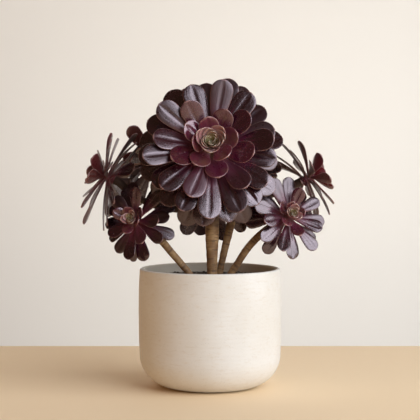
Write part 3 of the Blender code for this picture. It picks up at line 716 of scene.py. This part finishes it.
def stemMaterial():
    f = stemFinish
    material, nodes, links, shader = newMaterial("stemBark")
    uv = addNode(nodes, "ShaderNodeUVMap", uv_map="stemMap").outputs[0]
    objectPlace = addNode(nodes, "ShaderNodeTexCoord").outputs["Object"]
    cloud = noise(nodes, links, objectPlace, 130, 4)
    fine = noise(nodes, links, objectPlace, 1300, 3)
    colour = mixColour(nodes, links, mapRange(nodes, links, cloud, 0.35, 0.68), f["bark"], f["barkPale"])
    # scars are thin broken rings round the stem
    squash = addNode(nodes, "ShaderNodeMapping")
    squash.inputs["Scale"].default_value = (60.0, 330.0, 1.0)
    links.new(uv, squash.inputs["Vector"])
    rings = noise(nodes, links, squash.outputs[0], 1.6, 3)
    scars = mapRange(nodes, links, rings, 0.52, 0.66)
    colour = mixColour(nodes, links, maths(nodes, links, "MULTIPLY", scars, 0.70), colour, f["scar"])
    colour = mixColour(nodes, links, maths(nodes, links, "MULTIPLY", fine, 0.4), colour, f["scar"])
    # painted shade: the stem under the heads is darker, for the shade the heads cast, and also because its bark is
    # younger there
    high = addNode(nodes, "ShaderNodeSeparateXYZ")
    links.new(objectPlace, high.inputs[0])
    colour = mixColour(nodes, links, mapRange(nodes, links, high.outputs[2], 0.150, 0.172), colour, f["young"])
    links.new(colour, shader.inputs["Base Color"])
    shader.inputs["Roughness"].default_value = f["roughness"]
    relief = bump(nodes, links, rings, 0.5, -0.0008)
    relief = bump(nodes, links, fine, 0.35, 0.0003, relief)
    links.new(relief, shader.inputs["Normal"])
    return material


def modelTube(route, name, draw):
    # a cylinder cut into rings, each moved to its place on the route
    sides, rings = stemFinish["sides"], len(route)
    bpy.ops.object.select_all(action="DESELECT")
    bpy.ops.mesh.primitive_cylinder_add(vertices=sides, radius=1, depth=rings - 1, location=(0, 0, 0))
    tube = bpy.context.object
    tube.name = name
    bpy.ops.object.mode_set(mode="EDIT")
    for cut in range(1, rings - 1):
        bpy.ops.mesh.select_all(action="SELECT")
        bpy.ops.mesh.bisect(plane_co=(0, 0, cut - (rings - 1) / 2), plane_no=(0, 0, 1))
    bpy.ops.object.mode_set(mode="OBJECT")
    travelled = [0.0]
    for before, after in zip(route, route[1:]):
        travelled.append(travelled[-1] + float(np.linalg.norm((after - before)[:3])))
    first = Vector((1, 0, 0))
    frames = []
    for i in range(rings):
        ahead = Vector(route[min(i + 1, rings - 1)][:3]) - Vector(route[max(i - 1, 0)][:3])
        ahead.normalize()
        first = (first - ahead * first.dot(ahead)).normalized()
        frames.append((first.copy(), ahead.cross(first)))
    phase = draw.uniform(0, 6)
    for vertex in tube.data.vertices:
        i = min(max(round(vertex.co.z + (rings - 1) / 2), 0), rings - 1)
        across, around = frames[i]
        angle = math.atan2(vertex.co.y, vertex.co.x)
        ring = math.cos(2 * math.pi * travelled[i] / stemFinish["scarEvery"] + 0.5 * math.sin(angle + phase))
        uneven = math.sin(2 * angle + phase + 60 * travelled[i])
        swell = 1 - stemFinish["scarSwell"] * (0.5 - 0.5 * ring) + stemFinish["wobble"] * (uneven - 1) / 2
        radius = route[i][3] * (swell if 0 < i < rings - 1 else 0.96)
        flat = math.hypot(vertex.co.x, vertex.co.y)
        offset = (across * math.cos(angle) + around * math.sin(angle)) * radius * flat
        vertex.co = Vector(route[i][:3]) + offset
    # the map is in metres: round the stem and along it
    tube.data.uv_layers[0].name = "stemMap"
    uvs = tube.data.uv_layers[0].data
    middle = float(np.mean([row[3] for row in route]))
    for face in tube.data.polygons:
        for loop in face.loop_indices:
            place = tube.data.vertices[tube.data.loops[loop].vertex_index].co
            i = int(np.argmin([(place - Vector(row[:3])).length for row in route]))
            across, around = frames[i]
            offset = place - Vector(route[i][:3])
            angle = math.atan2(offset.dot(around), offset.dot(across))
            uvs[loop].uv = (angle * middle, travelled[i])
        angles = [uvs[loop].uv.x for loop in face.loop_indices]
        if max(angles) - min(angles) > math.pi * middle:
            for loop in face.loop_indices:
                if uvs[loop].uv.x < 0:
                    uvs[loop].uv.x += 2 * math.pi * middle
    bpy.ops.object.shade_smooth_by_angle(angle=math.radians(60))
    return tube


def dressStems():
    bark = stemMaterial()
    for name in stems:
        draw = random.Random(len(name) * 7)
        tubes = [modelTube(route, "tube", draw) for route in stemRoutes(name, stemFinish["steps"])]
        stem = joinPieces(tubes, "bark_" + name, bark)
        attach(stem, "root")
        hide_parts(name)
        print("stem", name, len(stem.data.polygons), "faces")


# Pot: spun from one profile, with a fine speckled glaze

potShape = dict(radius=0.070, height=0.116, wall=0.0042, floor=0.008, lip=0.0018, mouthDrawIn=0.0012,
                corner=0.032, cornerFlattening=0.0008, turns=144, soilBelowRim=0.0095, reliefRoom=0.0015)
glaze = dict(cream=(0.745, 0.715, 0.665), pale=(0.790, 0.770, 0.735), sandy=(0.640, 0.550, 0.430),
             # the inside colour is painted warm shade on the inner wall above the soil
             speck=(0.230, 0.150, 0.085), darkSpeck=(0.110, 0.075, 0.050), inside=(0.640, 0.520, 0.370),
             insideFrom=0.0660, insideTo=0.0672, insideAbove=0.095, insideShare=0.6, roughness=0.56)


def arc(centre, radius, start, end, steps):
    angles = [math.radians(start + (end - start) * i / steps) for i in range(steps + 1)]
    return [(centre[0] + radius * math.cos(a), centre[1] + radius * math.sin(a)) for a in angles]


def innerWall(gap, steps):
    p = potShape
    wall, floor, corner = p["radius"] - p["wall"] - gap, p["floor"] + gap, p["corner"] - p["wall"] - gap
    return arc((wall - corner, floor + corner), corner, 0, -90, steps) + [(0, floor)]


def potProfile():
    p = potShape
    mouth = p["radius"] - p["mouthDrawIn"]
    lip = (mouth - p["lip"], p["height"] - p["lip"])
    innerLip = (mouth - p["wall"] + p["lip"], p["height"] - p["lip"])
    corner = (p["radius"] - p["cornerFlattening"] - p["corner"], p["corner"])
    outside = arc(lip, p["lip"], 90, 0, 6)
    belly = smoothLine([outside[-1], (p["radius"] - 0.0003, p["height"] * 0.86),
                        (p["radius"], p["height"] * 0.68), (p["radius"] - 0.0002, p["height"] * 0.44),
                        (corner[0] + p["corner"], corner[1])], 5)
    outside += belly[1:-1] + arc(corner, p["corner"], 0, -90, 24) + [(0.012, 0), (0, 0)]
    inside = arc(innerLip, p["lip"], 90, 180, 6)
    inside += [(p["radius"] - p["wall"], p["height"] - p["soilBelowRim"] + p["reliefRoom"])]
    inside += innerWall(0.0, 12)
    return list(reversed(inside)) + outside


def smoothLine(points, steps):
    rows = [(place[0], place[1], 0.0) for place in points]
    route = smoothRoute([(row, 0.0) for row in rows], steps)
    return [(float(row[0]), float(row[1])) for row in route]


def glazeMaterial():
    g = glaze
    material, nodes, links, shader = newMaterial("speckledGlaze")
    objectPlace = addNode(nodes, "ShaderNodeTexCoord").outputs["Object"]
    cloud = noise(nodes, links, objectPlace, 22, 3)
    colour = mixColour(nodes, links, mapRange(nodes, links, cloud, 0.35, 0.70), g["cream"], g["pale"])
    # mottling and specks are drawn out sideways, as the pot turned
    drawn = addNode(nodes, "ShaderNodeMapping")
    drawn.inputs["Scale"].default_value = (1.0, 1.0, 3.0)
    links.new(objectPlace, drawn.inputs["Vector"])
    mottle = noise(nodes, links, drawn.outputs[0], 150, 4)
    colour = mixColour(nodes, links, mapRange(nodes, links, mottle, 0.50, 0.80, 0, 0.36), colour, g["sandy"])
    for scale, size, share, tint in ((520, 0.17, 0.62, g["speck"]), (260, 0.10, 0.50, g["darkSpeck"]),
                                     (1100, 0.24, 0.66, g["sandy"])):
        cells = addNode(nodes, "ShaderNodeTexVoronoi", feature="F1")
        cells.inputs["Scale"].default_value = scale
        links.new(drawn.outputs[0], cells.inputs["Vector"])
        pick = addNode(nodes, "ShaderNodeSeparateColor")
        links.new(cells.outputs["Color"], pick.inputs[0])
        speck = maths(nodes, links, "MULTIPLY", mapRange(nodes, links, cells.outputs["Distance"], size, size * 0.5),
                      maths(nodes, links, "GREATER_THAN", pick.outputs[0], share))
        colour = mixColour(nodes, links, maths(nodes, links, "MULTIPLY", speck, 0.62), colour, tint)
    # painted shade: the wall above the soil is browner inside, as warm shade
    flat = addNode(nodes, "ShaderNodeMapping")
    flat.inputs["Scale"].default_value = (1.0, 1.0, 0.0)
    links.new(objectPlace, flat.inputs["Vector"])
    reach = addNode(nodes, "ShaderNodeVectorMath", operation="LENGTH")
    links.new(flat.outputs[0], reach.inputs[0])
    level = addNode(nodes, "ShaderNodeSeparateXYZ")
    links.new(objectPlace, level.inputs[0])
    within = mapRange(nodes, links, reach.outputs["Value"], g["insideTo"], g["insideFrom"], 0, g["insideShare"])
    above = maths(nodes, links, "GREATER_THAN", level.outputs["Z"], g["insideAbove"])
    colour = mixColour(nodes, links, maths(nodes, links, "MULTIPLY", within, above), colour, g["inside"])
    links.new(colour, shader.inputs["Base Color"])
    shader.inputs["Roughness"].default_value = g["roughness"]
    shader.inputs["Specular IOR Level"].default_value = 0.4
    # throwing rings are faint, and the clay shows a fine tooth
    rings = addNode(nodes, "ShaderNodeTexWave", wave_type="BANDS", bands_direction="Z", wave_profile="SIN")
    rings.inputs["Scale"].default_value = 75
    rings.inputs["Distortion"].default_value = 0.6
    links.new(objectPlace, rings.inputs["Vector"])
    tooth = noise(nodes, links, objectPlace, 1500, 3)
    relief = bump(nodes, links, rings.outputs["Fac"], 0.03, 0.001)
    relief = bump(nodes, links, mottle, 0.10, 0.0006, relief)
    relief = bump(nodes, links, tooth, 0.14, 0.0003, relief)
    links.new(relief, shader.inputs["Normal"])
    return material


def spinProfile(name, profile, turns):
    # a plane merged to one vertex is extruded along the profile, and the line is spun round Z
    bpy.ops.object.select_all(action="DESELECT")
    bpy.ops.mesh.primitive_plane_add(size=0.001, location=(0, 0, 0))
    made = bpy.context.object
    made.name = made.data.name = name
    bpy.ops.object.mode_set(mode="EDIT")
    bpy.ops.mesh.select_all(action="SELECT")
    bpy.ops.mesh.merge(type="CENTER")
    bpy.ops.transform.translate(value=(profile[0][0], 0, profile[0][1]))
    for before, after in zip(profile, profile[1:]):
        step = (after[0] - before[0], 0, after[1] - before[1])
        bpy.ops.mesh.extrude_region_move(TRANSFORM_OT_translate={"value": step})
    bpy.ops.mesh.select_all(action="SELECT")
    bpy.ops.mesh.spin(steps=turns, angle=2 * math.pi, center=(0, 0, 0), axis=(0, 0, 1))
    bpy.ops.mesh.select_all(action="SELECT")
    bpy.ops.mesh.remove_doubles(threshold=0.00002)
    bpy.ops.mesh.normals_make_consistent(inside=False)
    bpy.ops.object.mode_set(mode="OBJECT")
    bpy.ops.object.shade_smooth_by_angle(angle=math.radians(40))
    return made


def dressPot():
    pot = spinProfile("glazedPot", potProfile(), potShape["turns"])
    pot.data.materials.append(glazeMaterial())
    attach(pot, "root")
    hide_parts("pot")
    print("pot", len(pot.data.polygons), "faces")


# Soil: a rough surface with grit and pumice lying in it

soilShape = dict(rings=44, turns=120, relief=0.0012, crumb=0.0009, grains=620, grainSize=(0.0009, 0.0024),
                 seed=41)
soilFinish = dict(dark=(0.040, 0.031, 0.024), brown=(0.095, 0.070, 0.050), grey=(0.230, 0.215, 0.190),
                  pumice=(0.480, 0.445, 0.390))


def soilHeight(x, y):
    fade = 1 - (math.hypot(x, y) / potShape["radius"]) ** 4
    waves = math.sin(170 * x + 1.3) * math.cos(150 * y) + 0.6 * math.sin(260 * y - 210 * x)
    return soilShape["relief"] * fade * waves


def soilMaterial():
    f = soilFinish
    material, nodes, links, shader = newMaterial("pottingMix")
    objectPlace = addNode(nodes, "ShaderNodeTexCoord").outputs["Object"]
    cloud = noise(nodes, links, objectPlace, 260, 5, 0.65)
    colour = colourRamp(nodes, links, cloud, ((0.35, f["dark"]), (0.52, f["brown"]), (0.70, f["grey"])))
    cells = addNode(nodes, "ShaderNodeTexVoronoi", feature="F1")
    cells.inputs["Scale"].default_value = 700
    links.new(objectPlace, cells.inputs["Vector"])
    links.new(colour, shader.inputs["Base Color"])
    shader.inputs["Roughness"].default_value = 0.92
    relief = bump(nodes, links, cells.outputs["Distance"], 0.7, 0.0008)
    relief = bump(nodes, links, cloud, 0.6, 0.0010, relief)
    links.new(relief, shader.inputs["Normal"])
    return material


def gritMaterial():
    f = soilFinish
    material, nodes, links, shader = newMaterial("grit")
    tone = addNode(nodes, "ShaderNodeAttribute", attribute_name="grainTone").outputs["Fac"]
    colour = colourRamp(nodes, links, tone, ((0.0, f["dark"]), (0.4, f["brown"]), (0.72, f["grey"]),
                                             (1.0, f["pumice"])))
    objectPlace = addNode(nodes, "ShaderNodeTexCoord").outputs["Object"]
    fine = noise(nodes, links, objectPlace, 1600, 3)
    colour = mixColour(nodes, links, maths(nodes, links, "MULTIPLY", fine, 0.5), colour, f["brown"])
    links.new(colour, shader.inputs["Base Color"])
    shader.inputs["Roughness"].default_value = 0.85
    links.new(bump(nodes, links, fine, 0.5, 0.0004), shader.inputs["Normal"])
    return material


def dressSoil():
    p, s = potShape, soilShape
    top = p["height"] - p["soilBelowRim"]
    wall = p["radius"] - p["wall"] - touchGap
    draw = random.Random(s["seed"])
    profile = [(wall * i / s["rings"], top) for i in range(s["rings"] + 1)] + innerWall(touchGap, 8)
    soil = spinProfile("pottingSoil", profile, s["turns"])
    for vertex in soil.data.vertices:
        if vertex.co.z > top - touchGap and math.hypot(vertex.co.x, vertex.co.y) < wall * 0.995:
            crumb = draw.uniform(-1, 0.15) * s["crumb"]
            vertex.co.z += soilHeight(vertex.co.x, vertex.co.y) + crumb
    soil.data.materials.append(soilMaterial())
    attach(soil, "root")
    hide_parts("soil")

    bpy.ops.object.select_all(action="DESELECT")
    bpy.ops.mesh.primitive_ico_sphere_add(subdivisions=1, radius=1, location=(0, 0, 0))
    seedGrain = bpy.context.object
    bpy.ops.object.mode_set(mode="EDIT")
    bpy.ops.mesh.select_all(action="SELECT")
    bpy.ops.mesh.bevel(offset=0.28, segments=1)
    bpy.ops.object.mode_set(mode="OBJECT")
    feet = [stemRoutes(name)[0] for name in stems]
    feet = [min(route, key=lambda row: abs(row[2] - top)) for route in feet]
    grains = []
    while len(grains) < s["grains"]:
        far, angle = wall * math.sqrt(draw.random()), draw.uniform(0, 2 * math.pi)
        x, y = far * math.cos(angle), far * math.sin(angle)
        size = s["grainSize"][0] + (s["grainSize"][1] - s["grainSize"][0]) * draw.random() ** 2.2
        if far + size * 1.3 > wall or any(math.hypot(x - row[0], y - row[1]) < row[3] + size * 1.4 for row in feet):
            continue
        grain = seedGrain.copy()
        grain.data = seedGrain.data.copy()
        bpy.context.collection.objects.link(grain)
        stretch = Vector([draw.uniform(0.7, 1.25) for _ in range(3)])
        turned = Vector([draw.uniform(-1, 1) for _ in range(3)]).to_track_quat("Z", "Y")
        height = top + soilHeight(x, y) - size * 0.15
        tone = draw.random()
        for vertex in grain.data.vertices:
            uneven = size * draw.uniform(0.86, 1.1)
            vertex.co = Vector((x, y, height)) + turned @ (vertex.co * stretch) * uneven
        shade = grain.data.attributes.new("grainTone", "FLOAT", "POINT")
        shade.data.foreach_set("value", [tone] * len(grain.data.vertices))
        grains.append(grain)
    bpy.data.objects.remove(seedGrain, do_unlink=True)
    grit = joinPieces(grains, "soilGrit", gritMaterial())
    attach(grit, "root")
    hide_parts("soil")
    print("soil", len(soil.data.polygons), "faces, grit", len(grit.data.polygons))


# Studio: pale floor and backdrop, a broad window light from the right and warm fill from the left

studio = dict(
    floorColour=(0.97, 0.76, 0.51), wallColour=(0.82, 0.795, 0.742), floorEnd=0.277, wallBehind=1.2,
    camera=dict(place=(0, -1.4, 0.239), tilt=87.3, lens=122.7),
    key=dict(place=(2.25, -1.15, 1.15), size=(2.2, 1.8), power=54.5, colour=(0.87, 0.935, 1.0)),
    sky=dict(place=(1.00, -1.88, 1.00), size=(0.95, 1.35), power=21, colour=(0.84, 0.91, 1.0)),
    back=dict(place=(0.15, 0.36, 0.14), size=(0.9, 0.24), power=4.1, colour=(1.0, 0.97, 0.93)),
    fill=dict(place=(-2.2, -0.75, 0.55), size=(2.0, 1.2), power=6.5, colour=(1.0, 0.50, 0.18), glossy=False),
    above=dict(place=(0.5, -0.3, 2.2), size=(1.6, 1.6), power=8, colour=(1.0, 0.96, 0.90), glossy=False),
    ambient=(1.0, 0.62, 0.36), ambientPower=0.10)


def stagePlane(name, size, place, turn, colour):
    bpy.ops.object.select_all(action="DESELECT")
    bpy.ops.mesh.primitive_plane_add(size=size, location=place, rotation=turn)
    plane = bpy.context.object
    plane.name = name
    material, nodes, links, shader = newMaterial(name)
    objectPlace = addNode(nodes, "ShaderNodeTexCoord").outputs["Object"]
    tint = noise(nodes, links, objectPlace, 3, 2)
    tinted = mixColour(nodes, links, maths(nodes, links, "MULTIPLY", tint, 0.10), colour,
                       tuple(c * 0.93 for c in colour))
    links.new(tinted, shader.inputs["Base Color"])
    shader.inputs["Roughness"].default_value = 0.7
    plane.data.materials.append(material)


def softLight(name, spec, target):
    light = bpy.data.lights.new(name, "AREA")
    light.shape = "RECTANGLE"
    light.size, light.size_y = spec["size"]
    light.energy = spec["power"]
    light.color = spec["colour"]
    lamp = bpy.data.objects.new(name, light)
    bpy.context.collection.objects.link(lamp)
    lamp.location = spec["place"]
    aim = Vector(target) - Vector(spec["place"])
    lamp.rotation_euler = aim.to_track_quat("-Z", "Y").to_euler()
    lamp.visible_glossy = spec.get("glossy", True)


def dressStudio():
    wallAt = studio["wallBehind"]
    stagePlane("floor", 6, (0, studio["floorEnd"] - 3, -0.0005), (0, 0, 0), studio["floorColour"])
    stagePlane("backdrop", 6, (0, wallAt, 0), (math.radians(90), 0, 0), studio["wallColour"])
    plant = (0, 0, 0.16)
    for name, target in (("key", plant), ("sky", plant), ("fill", plant), ("back", (0.0, wallAt, 0.14)), ("above", plant)):
        softLight(name, studio[name], target)
    bpy.context.scene.view_settings.view_transform = "Standard"
    world = bpy.data.worlds.new("room")
    bpy.context.scene.world = world
    world.use_nodes = True
    background = world.node_tree.nodes["Background"]
    background.inputs[0].default_value = (*studio["ambient"], 1)
    background.inputs[1].default_value = studio["ambientPower"]
    view = studio["camera"]
    camera = bpy.data.objects.new("camera", bpy.data.cameras.new("camera"))
    bpy.context.collection.objects.link(camera)
    camera.location = view["place"]
    camera.rotation_euler = (math.radians(view["tilt"]), 0, 0)
    camera.data.lens = view["lens"]
    camera.data.sensor_width = 36
    bpy.context.scene.camera = camera


dressStudio()
dressPot()
dressSoil()
dressStems()
dressHeads()
